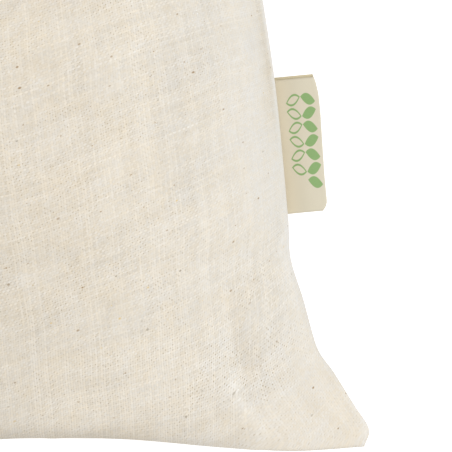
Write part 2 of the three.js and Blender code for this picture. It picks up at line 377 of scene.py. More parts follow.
def add_piece(name, points, faces, material, node=None, attributes=None):
    """A smooth mesh that rides on the part. points are in millimetres along the pouch."""
    placed = (np.asarray(points, float).reshape(-1, 3) - (0, LENGTH / 2, 0)) * MM
    mesh = bpy.data.meshes.new(name)
    mesh.from_pydata(placed.tolist(), [], [face.tolist() for face in faces])
    for key, values in (attributes or {}).items():
        kind = "FLOAT_VECTOR" if np.ndim(values) > 1 else "FLOAT"
        attribute = mesh.attributes.new(key, kind, "POINT")
        attribute.data.foreach_set("vector" if kind == "FLOAT_VECTOR" else "value", np.ravel(values))
    mesh.shade_smooth()
    mesh.materials.append(material)
    piece = bpy.data.objects.new(name, mesh)
    scene.collection.objects.link(piece)
    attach(piece, BODY)
    if node:
        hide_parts(node)
    return piece


class Wire:
    """A number that flows through a material's nodes, with plain arithmetic."""

    def __init__(self, paint, socket):
        self.paint = paint
        self.socket = socket

    def __add__(self, other):
        return self.paint.math("ADD", self, other)

    def __sub__(self, other):
        return self.paint.math("SUBTRACT", self, other)

    def __mul__(self, other):
        return self.paint.math("MULTIPLY", self, other)

    def __truediv__(self, other):
        return self.paint.math("DIVIDE", self, other)

    def __rsub__(self, other):
        return self.paint.math("SUBTRACT", other, self)

    __radd__ = __add__
    __rmul__ = __mul__

    def smooth(self, low, high):
        """0 up to low and 1 from high, or the other way round where low is above high."""
        node = self.paint.nodes.new("ShaderNodeMapRange")
        node.interpolation_type = "SMOOTHSTEP"
        for name, value in (("Value", self), ("From Min", low), ("From Max", high)):
            self.paint.put(node.inputs[name], value)
        return Wire(self.paint, node.outputs["Result"])

    def about(self, spread):
        """A number from 0 to 1 turned into one about 0, spread wide in all."""
        return (self - 0.5) * spread


NOISE_DETAIL = 2.0


class Paint:
    """A material and short calls for its nodes."""

    def __init__(self, name, roughness, specular, sheen=0.0):
        self.material = bpy.data.materials.new(name)
        self.material.use_nodes = True
        self.nodes = self.material.node_tree.nodes
        self.links = self.material.node_tree.links
        self.shader = self.nodes["Principled BSDF"]
        self.shader.inputs["Roughness"].default_value = roughness
        self.shader.inputs["Sheen Weight"].default_value = sheen
        self.shader.inputs["Specular IOR Level"].default_value = specular

    def put(self, socket, value):
        if isinstance(value, Wire):
            value = value.socket
        if isinstance(value, bpy.types.NodeSocket):
            self.links.new(value, socket)
        else:
            socket.default_value = value

    def math(self, operation, *values):
        node = self.nodes.new("ShaderNodeMath")
        node.operation = operation
        for socket, value in zip(node.inputs, values):
            self.put(socket, value)
        return Wire(self, node.outputs[0])

    def split(self, kind, socket):
        """The three parts of a vector or a colour."""
        node = self.nodes.new(kind)
        self.put(node.inputs[0], socket)
        return [Wire(self, part) for part in node.outputs]

    def attribute(self, name, output):
        """What the mesh carries under a name."""
        node = self.nodes.new("ShaderNodeAttribute")
        node.attribute_name = name
        return node.outputs[output]

    def parts(self, name):
        return self.split("ShaderNodeSeparateXYZ", self.attribute(name, "Vector"))

    def number(self, name):
        return Wire(self, self.attribute(name, "Fac"))

    def vector(self, x, y, z=0.0):
        node = self.nodes.new("ShaderNodeCombineXYZ")
        for socket, value in zip(node.inputs, (x, y, z)):
            self.put(socket, value)
        return node.outputs[0]

    def noise(self, place, detail=NOISE_DETAIL):
        """Three fields about 0.5."""
        node = self.nodes.new("ShaderNodeTexNoise")
        node.inputs["Scale"].default_value = 1.0
        node.inputs["Detail"].default_value = detail
        self.put(node.inputs["Vector"], place)
        return self.split("ShaderNodeSeparateColor", node.outputs["Color"])

    def chance(self, number):
        """A number from 0 to 1 that belongs to a whole number."""
        node = self.nodes.new("ShaderNodeTexWhiteNoise")
        node.noise_dimensions = "1D"
        self.put(node.inputs["W"], number)
        return Wire(self, node.outputs["Value"])

    def pair_chances(self, first, second):
        """Three numbers from 0 to 1 that belong to a pair of whole numbers."""
        node = self.nodes.new("ShaderNodeTexWhiteNoise")
        node.noise_dimensions = "2D"
        self.put(node.inputs["Vector"], self.vector(first, second))
        return self.split("ShaderNodeSeparateColor", node.outputs["Color"])

    def cells(self, place):
        """The distance to the nearest of many scattered points, and three chances that belong to it."""
        node = self.nodes.new("ShaderNodeTexVoronoi")
        node.voronoi_dimensions = "2D"
        node.inputs["Scale"].default_value = 1.0
        self.put(node.inputs["Vector"], place)
        chances = self.split("ShaderNodeSeparateColor", node.outputs["Color"])
        return Wire(self, node.outputs["Distance"]), chances

    def mix(self, share, first, second):
        """A colour between two colours."""
        node = self.nodes.new("ShaderNodeMix")
        node.data_type = "RGBA"
        sockets = [socket for socket in node.inputs if socket.type == "RGBA"]
        self.put(node.inputs[0], share)
        for socket, colour in zip(sockets, (first, second)):
            self.put(socket, colour if not isinstance(colour, tuple) else (*colour, 1.0))
        return next(socket for socket in node.outputs if socket.type == "RGBA")

    def shade(self, colour, factor):
        """A colour made lighter or darker by a number."""
        node = self.nodes.new("ShaderNodeVectorMath")
        node.operation = "SCALE"
        self.put(node.inputs[0], colour)
        self.put(node.inputs["Scale"], factor)
        return node.outputs[0]

    def cover(self, colour, height, depth, strength):
        """The surface's colour and fine relief. height runs from about -1 to 1, depth is in millimetres."""
        node = self.nodes.new("ShaderNodeBump")
        node.inputs["Strength"].default_value = strength
        node.inputs["Distance"].default_value = depth * MM
        self.put(node.inputs["Height"], height)
        self.put(self.shader.inputs["Normal"], node.outputs["Normal"])
        self.put(self.shader.inputs["Base Color"], colour)
        return self.material


# The two directions of threads. A slub is a thicker stretch of a thread.
WARP = {
    "pitch": 0.637,
    "first_chance": 0.0,
    "slub_apart": 7.31,
    "slub_length": 6,
    "slub_start": 0.0,
    "tone": 0.0,
}
WEFT = {
    "pitch": 0.603,
    "first_chance": 900.5,
    "slub_apart": 5.17,
    "slub_length": 7,
    "slub_start": 9.1,
    "tone": 0.02,
}
THREAD = {"width": 0.88, "drift": 0.24, "wander": 0.9, "slub": 0.4, "loose": 0.3, "swell": 0.45, "rise": 0.1}
WEAVE_RELIEF = {"depth": 0.06, "strength": 0.35}
# Uneven patterns over the cloth: length across, length along, where each one starts
WANDER = (13, 13, 0.0)
WANDER_DETAIL = 1.0
LOOSE = (5, 4, 3.7)
MOTTLE = (4.5, 3.6, 1.9)
PATCHES = (12, 9, 6.3)

COTTON_WARM = (0.71, 0.63, 0.505)
COTTON_COOL = (0.69, 0.662, 0.615)
# Painted shade in the openings between threads, lighter where a seam allowance lies behind the cloth
COTTON_GAP_SHADE = (0.34, 0.26, 0.155)
COTTON_BACKED_GAP_SHADE = (0.5, 0.42, 0.31)
COTTON_LIGHT = 0.98
# How much each of these makes the cloth lighter or darker, and warmer or cooler
TONE = {"thread": 0.09, "slub": 0.2, "crossing": 0.05, "mottle": 0.14, "patches": 0.1}
# Painted shade towards the edges of the warp threads, in the grooves between them, stronger on the low
# slopes
WARP_EDGE_SHADE = {"all": 0.1, "low": 0.18}
TINT = {"middle": 0.5, "patches": 0.5, "mottle": 0.6, "crossing": 0.4, "tone": 0.6, "weft": 0.1}

# Zones of the cloth, by limits on four measures in millimetres: side from the nearer side seam, up from the
# bottom seam, out from the middle, and lift off the seams' level. Each limit says where the zone is gone and
# where it is full.
ZONES = {
    "low": (("up", 54, 38), ("out", 50, 36)),
    "backed": (("lift", 9, 2), ("out", 24, 40)),
    "backed_low": (("lift", 9, 2), ("out", 24, 40), ("up", 24, 10)),
    "flank_band": (("side", 18, 11), ("side", 4, 10), ("up", 75, 100), ("up", 140, 112)),
    "flank": (("side", 46, 20), ("up", 50, 75)),
    "edge": (("side", 11, 4), ("up", 36, 54), ("up", 150, 115)),
    "pulled": (("out", 28, 38), ("out", 60, 50), ("up", 13, 20), ("up", 46, 33)),
    "underside": (("up", 20, 3), ("out", 26, 12)),
    "above_underside": (("up", 10, 18), ("up", 35, 26), ("out", 40, 30)),
    "brink": (("up", 9, 2), ("out", 16, 24), ("out", 47, 40)),
    "belly": (("out", 19, 29), ("out", 42, 33), ("up", 66, 84), ("up", 150, 125)),
}
# How much each zone cools the cloth's colour, and warms it where the number is below 0. Painted light:
# flank, edge and crease take the cool tint of the light from the right; backed is partly that and partly the
# doubled cloth's cooler colour. Painted shade: flank_band and underside are warmed.
ZONE_COOLNESS = {
    "backed": 0.1,
    "flank": 0.1,
    "flank_band": -0.3,
    "edge": 0.15,
    "underside": -0.2,
    "crease": 0.1,
    "pulled": 0.15,
}
# How much each zone lightens or darkens the cloth. Painted light: low, above_underside and edge lift slopes
# that get less light, and crease is a painted highlight; backed and backed_low are partly painted light on
# the ears and partly the doubled cloth's lighter colour.
# Painted shade: underside and brink where the cloth turns under at the bottom, belly in a band beside the
# middle, flank_band in a strip along the side seam.
ZONE_LIGHT = {
    "backed": 0.01,
    "backed_low": 0.05,
    "low": 0.05,
    "pulled": 0.012,
    "above_underside": 0.05,
    "brink": -0.09,
    "belly": -0.046,
    "underside": -0.185,
    "flank_band": -0.055,
    "edge": 0.06,
    "crease": 0.045,
}
ZONE_EVENNESS = {"flank": 0.5, "backed": 0.5}
ZONE_CLOSENESS = {"flank": 0.6, "crease": 0.8}

# The small openings between threads, painted dark with the shade that falls into them
OPENING = {"reach": 0.15, "chance": 0.42, "least": 0.1, "first_chance": 700.0}
# every_other: alternate openings get more painted shade, as from light falling across the crossings from one
# side
OPENING_ROWS = {"even": 0.64, "every_other": 0.36}
OPENING_PATCHES = {"fade": (0.3, 0.65), "open": 0.8, "least": 0.4, "pulled": 0.8}

SPECK_BROWN = (0.33, 0.22, 0.12)
SPECK_GREY = (0.34, 0.3, 0.235)
SPECK_YELLOW = (0.66, 0.5, 0.25)
SPECK = {"spacing": 8.5, "flatness": 1.5, "least_radius": 0.024, "more_radius": 0.04, "edge": (1.1, 0.4)}
SPECK_CHANCE = {"missing": 0.3, "grey": (0.45, 0.6), "yellow": (0.75, 0.85)}
SPECK_STRENGTH = {"least": 0.2, "more": 0.7}


class Threads:
    """The threads of one direction at a place of the cloth, with lengths across them in pitches."""

    def __init__(self, paint, kind, place, along, loose):
        self.place = place / kind["pitch"]
        self.number = paint.math("FLOOR", self.place)
        self.corner = paint.math("FLOOR", self.place + 0.5)
        chance = paint.chance(self.number + kind["first_chance"])
        self.side = self.place - self.number - 0.5 + chance.about(THREAD["drift"])
        slub_place = (self.number * kind["slub_apart"], along / kind["slub_length"], kind["slub_start"])
        slub = paint.noise(paint.vector(*slub_place))
        width = slub[0].about(THREAD["slub"]) + THREAD["width"] - loose[0].about(THREAD["loose"])
        reach = self.side * 2 / width
        self.round = paint.math("SQRT", paint.math("MAXIMUM", 1.0 - reach * reach, 0.0))
        self.tone = chance.about(TONE["thread"]) + slub[1].about(TONE["slub"]) + kind["tone"]


def cloth_zones(paint, measures):
    """How fully each zone holds at a place of the cloth, from 0 to 1."""
    # The crease's line, where a painted highlight goes
    zones = {"crease": paint.number("crease")}
    for name, limits in ZONES.items():
        zone = 1.0
        for measure, gone, full in limits:
            zone = zone * measures[measure].smooth(gone, full)
        zones[name] = zone
    zones["flank"] = zones["flank"] * (1.0 - zones["flank_band"])
    return zones


def weighed(zones, weights):
    return sum(zones[name] * weight for name, weight in weights.items())


def cotton_specks(paint, across, along, colour):
    """Dark, grey and yellow specks of seed in the cloth."""
    place = paint.vector(across / SPECK["spacing"], along * SPECK["flatness"] / SPECK["spacing"])
    distance, chances = paint.cells(place)
    radius = chances[1] * chances[1] * SPECK["more_radius"] + SPECK["least_radius"]
    speck = (distance / radius).smooth(*SPECK["edge"])
    speck = speck * paint.math("GREATER_THAN", chances[0], SPECK_CHANCE["missing"])
    hue = paint.mix(chances[2].smooth(*SPECK_CHANCE["grey"]), SPECK_BROWN, SPECK_GREY)
    hue = paint.mix(chances[2].smooth(*SPECK_CHANCE["yellow"]), hue, SPECK_YELLOW)
    strength = chances[0] * SPECK_STRENGTH["more"] + SPECK_STRENGTH["least"]
    return paint.mix(speck * strength, colour, hue)


def cotton_openings(paint, warp, weft, patches, zones):
    """How much painted shade darkens the opening between four threads at a place of the cloth."""
    chance = paint.pair_chances(warp.corner, weft.corner + OPENING["first_chance"])[0]
    # Alternate openings get more painted shade, as from light falling across the crossings from one side
    every_other = paint.math("COSINE", (warp.corner + weft.corner) * math.pi)
    off_warp = warp.place - warp.corner
    off_weft = weft.place - weft.corner
    hole = (off_warp * off_warp + off_weft * off_weft).smooth(OPENING["reach"], 0.0)
    openness = chance * chance * OPENING["chance"] + OPENING["least"]
    openness = openness * (every_other * OPENING_ROWS["every_other"] + OPENING_ROWS["even"])
    patch = patches[2].smooth(*OPENING_PATCHES["fade"]) * OPENING_PATCHES["open"] + OPENING_PATCHES["least"]
    openness = openness * (patch + zones["pulled"] * OPENING_PATCHES["pulled"])
    for name, closeness in ZONE_CLOSENESS.items():
        openness = openness * (1.0 - zones[name] * closeness)
    return hole * openness


def cotton_paint():
    """Plain weave of unbleached cotton, with painted shade in its openings and painted light and shade over
    zones of the pouch.
    """
    paint = Paint("cotton", roughness=0.95, sheen=0.12, specular=0.15)
    across, along, lift = paint.parts("cloth")
    side, up, out = paint.parts("seam")
    zones = cloth_zones(paint, {"side": side, "up": up, "out": out, "lift": lift})

    def pattern(width, length, start, detail=NOISE_DETAIL):
        return paint.noise(paint.vector(across / width, along / length, start), detail)

    wander = pattern(*WANDER, WANDER_DETAIL)
    loose = pattern(*LOOSE)
    mottle = pattern(*MOTTLE)
    patches = pattern(*PATCHES)
    warp = Threads(paint, WARP, across + wander[0].about(THREAD["wander"]), along, loose)
    weft = Threads(paint, WEFT, along + wander[1].about(THREAD["wander"]), across, loose)
    crossing = paint.pair_chances(warp.number, weft.number)

    over = paint.math("COSINE", (warp.number + weft.number) * math.pi)
    warp_wave = paint.math("COSINE", weft.side * math.pi) * over
    weft_wave = paint.math("COSINE", warp.side * math.pi) * over
    warp_height = warp.round * (warp_wave * THREAD["swell"] + 1.0) - 1.0 + warp_wave * THREAD["rise"]
    weft_height = weft.round * (1.0 - weft_wave * THREAD["swell"]) - 1.0 - weft_wave * THREAD["rise"]
    height = paint.math("MAXIMUM", warp_height, weft_height)
    weft_on_top = paint.math("GREATER_THAN", weft_height, warp_height)

    tone = warp.tone + (weft.tone - warp.tone) * weft_on_top + crossing[0].about(TONE["crossing"])
    tone = tone + mottle[0].about(TONE["mottle"]) + patches[1].about(TONE["patches"])
    # Painted shade in the grooves between warp threads, stronger low down
    warp_edge_shade = zones["low"] * WARP_EDGE_SHADE["low"] + WARP_EDGE_SHADE["all"]
    tone = tone - warp.side * warp.side * warp_edge_shade
    tint = patches[0].about(TINT["patches"]) + mottle[1].about(TINT["mottle"])
    tint = tint + crossing[1].about(TINT["crossing"]) + tone * TINT["tone"] + TINT["middle"]
    tint = tint + weft_on_top * TINT["weft"] + weighed(zones, ZONE_COOLNESS)
    # Painted light and shade by zone, on top of the cloth's own lightness
    light = weighed(zones, ZONE_LIGHT) + COTTON_LIGHT

    colour = paint.mix(tint, COTTON_WARM, COTTON_COOL)
    colour = paint.shade(colour, tone * (1.0 - weighed(zones, ZONE_EVENNESS)) + light)
    # Painted shade for the openings, lighter where the cloth lies doubled
    gap = paint.mix(zones["backed"], COTTON_GAP_SHADE, COTTON_BACKED_GAP_SHADE)
    colour = paint.mix(cotton_openings(paint, warp, weft, patches, zones), colour, gap)
    colour = cotton_specks(paint, across, along, colour)
    return paint.cover(colour, height, **WEAVE_RELIEF)


# Towards the seam the ribbon is painted lighter, offsetting the shade the cloth casts on it, and warmer, as
# painted warm shade
RIBBON_INNER = (0.655, 0.585, 0.445)
RIBBON_OUTER = (0.594, 0.546, 0.431)
RIBBON_BACK = (0.62, 0.545, 0.37)
RIBBON_FADE = (0.0, 4.5)
RIBBON_LIGHT = {"least": 0.94, "fine": 0.08, "broad": 0.06}
RIBBON_RELIEF = {"depth": 0.03, "strength": 0.4}
# Patterns over the ribbon: how many to a millimetre outwards and along
RIBBON_FINE = (3.2, 9)
RIBBON_BROAD = (1 / 5, 1 / 7)
PRINT_GREEN = (0.19, 0.345, 0.115)
PRINT_COVER = {"least": 0.86, "fine": 0.12}
LEAF = {"pace": 3.4, "half": 1.75, "width": 1.4, "slant": 0.4, "edge": (1.06, 0.94), "end": 0.1}
BOLD_ROW = {"from": 5.4, "to": 29.2, "at": 7.3}
OUTLINED_ROW = {"from": 8.8, "to": 29.2, "at": 3.7}
OUTLINE = {"at": 0.82, "stroke": (0.24, 0.12)}


def leaf_row(paint, out, along, row):
    """Below 1 inside a row of pointed leaves that lean in turn to either side."""
    place = along - row["from"]
    number = paint.math("FLOOR", place / LEAF["pace"])
    from_middle = place - number * LEAF["pace"] - LEAF["pace"] / 2
    way = paint.math("COSINE", number * math.pi)
    slanted = from_middle + (out - row["at"]) * way * LEAF["slant"]
    tip = paint.math("ABSOLUTE", (out - row["at"]) / LEAF["half"])
    return paint.math("ABSOLUTE", slanted) / LEAF["width"] + tip * tip


def stretch(along, row):
    """1 along a row of leaves, 0 before and after it."""
    start = along.smooth(row["from"] - LEAF["end"], row["from"] + LEAF["end"])
    return start * along.smooth(row["to"] + LEAF["end"], row["to"] - LEAF["end"])


def ribbon_paint():
    """Smooth beige ribbon with a row of bold leaves and a row of outlined ones."""
    paint = Paint("ribbon", roughness=0.6, sheen=0.1, specular=0.3)
    out, along, layer = paint.parts("ribbon")
    fine = paint.noise(paint.vector(out * RIBBON_FINE[0], along * RIBBON_FINE[1]))
    broad = paint.noise(paint.vector(out * RIBBON_BROAD[0], along * RIBBON_BROAD[1]))
    # Painted light and warm painted shade towards the seam
    colour = paint.mix(out.smooth(*RIBBON_FADE), RIBBON_INNER, RIBBON_OUTER)
    light = RIBBON_LIGHT["least"] + fine[0] * RIBBON_LIGHT["fine"] + broad[0] * RIBBON_LIGHT["broad"]
    colour = paint.shade(colour, light)
    colour = paint.mix(layer, colour, RIBBON_BACK)

    bold = leaf_row(paint, out, along, BOLD_ROW).smooth(*LEAF["edge"]) * stretch(along, BOLD_ROW)
    ring = paint.math("ABSOLUTE", leaf_row(paint, out, along, OUTLINED_ROW) - OUTLINE["at"])
    thin = ring.smooth(*OUTLINE["stroke"]) * stretch(along, OUTLINED_ROW)
    printed = paint.math("MAXIMUM", bold, thin) * (1.0 - layer)
    worn = PRINT_COVER["least"] + fine[1] * PRINT_COVER["fine"]
    colour = paint.mix(printed * worn, colour, PRINT_GREEN)
    return paint.cover(colour, fine[2], **RIBBON_RELIEF)


# The grooves between the cord's strands are painted darker: painted shade
STRING_LIGHT = (0.73, 0.67, 0.575)
STRING_GROOVE_SHADE = (0.46, 0.4, 0.31)
STRING_FADE = (0.0, 0.55)
STRING_SHADE = {"least": 0.86, "fibre": 0.18, "patches": 0.1}
STRING_RELIEF = {"depth": 0.1, "strength": 0.5}
# Patterns on the cord: how many to a turn, length along, where each one starts
STRING_FIBRE = (5, 3, 0.0)
STRING_PATCHES = (1, 6, 4.0)


def string_paint():
    """Twisted unbleached cotton cord, with painted shade in the grooves between its strands."""
    paint = Paint("string", roughness=0.95, sheen=0.15, specular=0.15)
    around, along, lobe = paint.parts("strand")

    def pattern(often, length, start):
        return paint.noise(paint.vector(around * often, along / length, start))

    fibre = pattern(*STRING_FIBRE)
    patches = pattern(*STRING_PATCHES)
    # Painted shade in the grooves between strands
    colour = paint.mix(lobe.smooth(*STRING_FADE), STRING_GROOVE_SHADE, STRING_LIGHT)
    light = STRING_SHADE["least"] + fibre[0] * STRING_SHADE["fibre"] + patches[0] * STRING_SHADE["patches"]
    return paint.cover(paint.shade(colour, light), fibre[1], **STRING_RELIEF)


def weave_places(base, width, columns, rim_row):
    """How far each point lies across the weave and along it, in millimetres of cloth."""
    x = base[..., 0]
    y = base[..., 1]
    excess = columns - y
    excess[rim_row:] = excess[rim_row]
    shift = WEAVE["skew"] * WEAVE["skew_reach"] * np.tanh(x / WEAVE["skew_reach"])
    angle = math.radians(EAR_WEAVE["angle"])
    ear = math.cos(angle) * y - math.sin(angle) * np.abs(x) + EAR_WEAVE["start"] + np.abs(shift) - shift
    share = smooth(EAR_WEAVE["inner"], EAR_WEAVE["outer"], np.abs(x) - EAR_WEAVE["slope"] * y)
    share = share * (1 - smooth(*EAR_WEAVE["fade"], y))
    along = (columns - WEAVE["ease"] * excess - shift) * (1 - share) + ear * share
    leaning = np.maximum(columns - excess, (columns - excess + WEAVE["lean_from"]) / 2)
    across = straight_warp(base, width) + WEAVE["lean"] * leaning
    return across + WEAVE_START["across"], along + WEAVE_START["along"]


def straight_warp(base, width):
    """The places across the weave, with the warp straight from a height down to the bottom seam."""
    x = base[..., 0]
    start = int(np.argmax(base[:, base.shape[1] // 2, 1] > STRAIGHT["height"]))
    order = np.argsort(x[start])
    below = np.array([np.interp(row, x[start][order], width[start][order]) for row in x[:start]])
    share = 1 - smooth(STRAIGHT["inner"], STRAIGHT["outer"], np.abs(x[:start]))
    places = np.array(width)
    places[:start] += (below - width[:start]) * share
    return places


def cloth_relief(random, width, columns, from_side, from_seam, stations):
    """How far the cloth stands off its even form: broad waves, and puckers at the seams and the hem."""
    broad = ripples(random, *BROAD_WAVES)
    pucker = ripples(random, *PUCKER_WAVES)
    hem = np.abs(columns - columns[stations.tolist().index(HEM_SEAM)][None, :])
    outside = (stations <= RIM)[:, None]
    relief = BROAD_RELIEF["height"] * broad(width, columns) * smooth(*BROAD_RELIEF["fade"], from_seam)
    at_seam = np.exp(-from_seam / SEAM_PUCKER["reach"]) * smooth(*SEAM_PUCKER["fade"], from_seam)
    relief = relief + SEAM_PUCKER["height"] * pucker(width, columns) * at_seam
    relief = relief - HEM_GROOVE["depth"] * np.exp(-((hem / HEM_GROOVE["reach"]) ** 2)) * outside
    at_hem = np.exp(-hem / HEM_PUCKER["reach"]) * outside
    relief = relief + HEM_PUCKER["height"] * pucker(width * HEM_PUCKER["closeness"], columns) * at_hem
    near_hem = np.exp(-hem / HEM_GATHER["reach"]) * smooth(*HEM_GATHER["fade"], from_side)
    return relief + HEM_GATHER["height"] * pucker(width, columns * HEM_GATHER["closeness"]) * near_hem


def cloth_marks(base, lift, from_side, columns, width, rim_row, is_front):
    """What the paint reads at each point: its place in the weave, its place in the panel and the crease,
    where a highlight is painted.
    """
    x = base[..., 0]
    y = base[..., 1]
    # The crease's line, for its painted highlight
    crease = corner_fold_height(x, y, (CREASE_MARK,))
    crease = crease**CREASE_NARROWING * (1 - smooth(*CREASE_FADE, y)) * smooth(*CREASE_END, y) * is_front
    cloth = np.stack((*weave_places(base, width, columns, rim_row), lift), axis=-1)
    seam = np.stack((from_side, columns, np.abs(x)), axis=-1)
    crease = crease.ravel()
    return {
        "cloth": sheet_points(cloth, cloth),
        "seam": sheet_points(seam, seam),
        "crease": np.concatenate((crease, crease)),
    }


def cloth_panel(name, node, is_front, seed, material):
    """One panel of cloth, from the bottom seam to the sewn end of its hem."""
    random = np.random.default_rng(seed)
    rows = panel_rows()
    stations = rows[:, 0]
    inset, beyond, turned = (rows[:, [column]] for column in (1, 2, 3))
    section = sections_at(stations)
    along = np.linspace(0, 1, DENSE_COLUMNS)[None, :]
    dense = panel_points(section, is_front, along, inset, beyond, turned, section["slit"])
    base = spaced(dense, COLUMNS)

    lengths = row_lengths(base)
    columns = row_lengths(base.transpose(1, 0, 2)).T
    from_side = np.minimum(lengths, lengths[:, [-1]] - lengths)
    from_seam = np.minimum(from_side, columns)
    share = np.broadcast_to(np.linspace(0, 1, COLUMNS)[None, :], from_seam.shape)
    width = (share if is_front else 1 - share) * FLAT_WIDTH
    lift = np.abs(base[..., 2] - section["seam"])

    edge = np.where(section["slit"] > 0, np.minimum(columns, SEAM_ROUNDING), from_seam)
    closing = 1 - np.clip(edge / SEAM_ROUNDING, 0, 1)
    offset = WALL * np.sqrt(1 - closing**2)
    normal = normals_of(base)
    relief = cloth_relief(random, width, columns, from_side, from_seam, stations)
    outer = base + normal * (offset + relief)[..., None]
    thickness = np.minimum(CLOTH, np.maximum(offset, THINNEST_CLOTH))
    inner = outer - normal * thickness[..., None]
    outer[..., 2] = np.maximum(outer[..., 2], OUTER_CLEARANCE)
    inner[..., 2] = np.maximum(inner[..., 2], INNER_CLEARANCE)

    faces = sheet_faces(len(rows), COLUMNS)
    marks = cloth_marks(base, lift, from_side, columns, width, stations.tolist().index(RIM), is_front)
    piece = add_piece(name, sheet_points(outer, inner), faces, material, node, marks)
    return piece, outer, normal, stations


def path_frames(path):
    """Two directions across a path that turn as little as they can along it."""
    tangent = np.gradient(path, axis=0)
    tangent /= np.linalg.norm(tangent, axis=1, keepdims=True)
    across = np.cross(tangent[0], (0.0, 1.0, 0.0))
    if np.linalg.norm(across) < NEARLY_PARALLEL:
        across = np.cross(tangent[0], (0.0, 0.0, 1.0))
    firsts = []
    for direction in tangent:
        across = across - direction * np.dot(across, direction)
        across = across / np.linalg.norm(across)
        firsts.append(across)
    firsts = np.array(firsts)
    return firsts, np.cross(tangent, firsts)


def tube_points(path, radius, angles):
    """Rings of points round a path, then its two ends. radius has a row for each place of the path."""
    first, second = path_frames(path)
    rings = (
        path[:, None, :]
        + first[:, None, :] * (radius * np.cos(angles))[..., None]
        + second[:, None, :] * (radius * np.sin(angles))[..., None]
    )
    return np.concatenate((rings.reshape(-1, 3), path[[0, -1]]))


def tube_faces(places, around, offset=0):
    """Quads round a tube, with a fan at each end."""
    faces = []
    for place in range(places - 1):
        for side in range(around):
            following = (side + 1) % around
            low = offset + place * around
            faces.append((low + side, low + following, low + around + following, low + around + side))
    first_middle = offset + places * around
    for side in range(around):
        following = (side + 1) % around
        last = offset + (places - 1) * around
        faces.append((offset + following, offset + side, first_middle))
        faces.append((last + side, last + following, first_middle + 1))
    return [np.array(face) for face in faces]


def smooth_path(points, step):
    """A smooth line through points, with places a step apart."""
    points = np.asarray(points, float)
    dense = spline(points, np.linspace(0, len(points) - 1, PATH_SAMPLES * len(points)))
    lengths = row_lengths(dense[None])[0]
    return between(dense, lengths, np.linspace(0, lengths[-1], int(lengths[-1] / step) + 1))


def drawstring_path():
    """From one tail through the knot, round in the hem's channel, and round the knot to the other tail."""
    hem = sections_at(np.array([(RIM + HEM_SEAM) / 2]))
    level = float(hem["side"][0, 0])
    along = np.linspace(0, 1, RING_SAMPLES)[None, :]
    slit = np.full((1, 1), CORD["leaves_at"])
    ring = []
    for is_front in (True, False):
        half_ring = panel_points(hem, is_front, along, CORD["inset"], 0, 0, slit)
        ring.extend(spaced(half_ring, RING_PLACES)[0])
    wraps = []
    count = KNOT["wrap_steps"] * KNOT["wraps"]
    for step in range(count + 1):
        angle = -math.pi / 2 + 2 * math.pi * step / KNOT["wrap_steps"]
        x = KNOT["x"] + KNOT["half_length"] * (1 - 2 * step / count)
        beyond = KNOT["wrap_radius"] * math.cos(angle)
        wraps.append((x, beyond, KNOT["z"] + KNOT["wrap_radius"] * math.sin(angle)))

    def at_level(places):
        return [(x, level + beyond, z) for x, beyond, z in places]

    start = at_level((*FIRST_TAIL, *INTO_FRONT))
    end = at_level((*OUT_OF_BACK, *wraps, *LAST_TAIL))
    return smooth_path([*start, *ring, *end], CORD["step"])


def drawstring(material):
    """A cord of twisted strands, held in the hem and tied in one knot at the slit."""
    path = drawstring_path()
    around = CORD["around"]
    angles = np.linspace(0, 2 * np.pi, around, endpoint=False)[None, :]
    places = (np.arange(len(path)) * CORD["step"])[:, None]
    turn = angles - 2 * np.pi * places / CORD["lay"]
    lobe = np.abs(np.cos(STRANDS["count"] / 2 * turn))
    radius = CORD["radius"] * (1 - STRANDS["groove"] + STRANDS["groove"] * lobe ** STRANDS["roundness"])
    from_end = np.minimum(places, places[::-1])
    narrowing = CORD_END["narrowing"] * (1 - smooth(0, CORD_END["length"], from_end))
    points = tube_points(path, radius * (1 - narrowing), angles)
    strand = np.stack(np.broadcast_arrays(turn, places, lobe), axis=-1).reshape(-1, 3)
    strand = np.concatenate((strand, np.zeros((2, 3))))
    faces = tube_faces(len(path), around)
    return add_piece("drawstring_cord", points, faces, material, "drawstring", {"strand": strand})


def stitches(panels, material):
    """A row of stitches through each panel where its hem is sewn down."""
    points = []
    faces = []
    strand = []
    sides = STITCH["sides"]
    places = STITCH["places"]
    pace = STITCH["length"] + STITCH["gap"]
    share = np.linspace(0, 1, places)
    rise = STITCH["height"] * (2 * np.sin(np.pi * share) ** 0.5 - 1)
    radius = np.full((places, sides), STITCH["radius"])
    angles = np.broadcast_to(np.linspace(0, 2 * np.pi, sides, endpoint=False)[None, :], radius.shape)
    for _, outer, normal, stations in panels:
        row = stations.tolist().index(HEM_SEAM)
        lengths = row_lengths(outer[row][None])[0]
        for start in np.arange(STITCH["start"], lengths[-1] - pace, pace):
            spots = start + STITCH["length"] * share
            path = between(outer[row], lengths, spots) + between(normal[row], lengths, spots) * rise[:, None]
            faces.extend(tube_faces(places, sides, len(points) * (places * sides + 2)))
            points.append(tube_points(path, radius, angles))
            spot = np.broadcast_to(spots[:, None], radius.shape)
            marks = np.stack((angles, spot, np.ones_like(spot)), axis=-1).reshape(-1, 3)
            strand.append(np.concatenate((marks, np.ones((2, 3)))))
    points = np.concatenate(points)
    strand = np.concatenate(strand)
    return add_piece("hem_stitches", points, faces, material, None, {"strand": strand})


def label_curl(out):
    """How far the label bends down at a distance out of the seam."""
    return -LABEL_CURL["depth"] * smooth(*LABEL_CURL["fade"], out)


